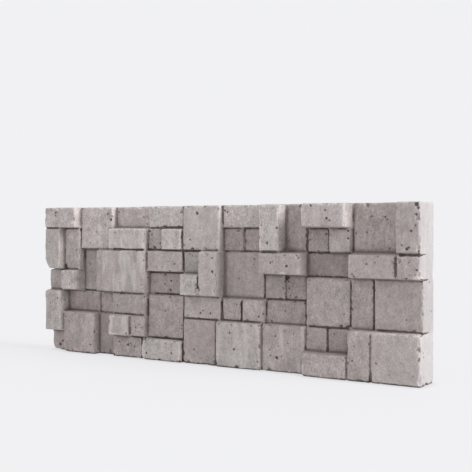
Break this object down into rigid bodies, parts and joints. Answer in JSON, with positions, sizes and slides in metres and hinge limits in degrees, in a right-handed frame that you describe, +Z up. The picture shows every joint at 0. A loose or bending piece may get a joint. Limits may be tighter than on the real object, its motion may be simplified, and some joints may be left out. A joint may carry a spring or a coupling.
{
  "type": "cast concrete relief wall panel",
  "caption": "Cladding panel cast in one piece, with a mosaic of rectangular blocks standing out from a plain slab by different amounts",
  "frame": {"origin": "centre of the bounding box on the ground, under the panel as it stands on its long edge", "axes": "+X along the panel, to the right as the relief is seen; +Y out of the plain back; +Z up; the relief looks along -Y"},
  "size_m": [0.55, 0.045, 0.2],
  "materials": {
    "concrete": "matt cast concrete with small blow holes"
  },
  "bodies": {
    "root": {"panel": "concrete"}
  },
  "joints": []
}
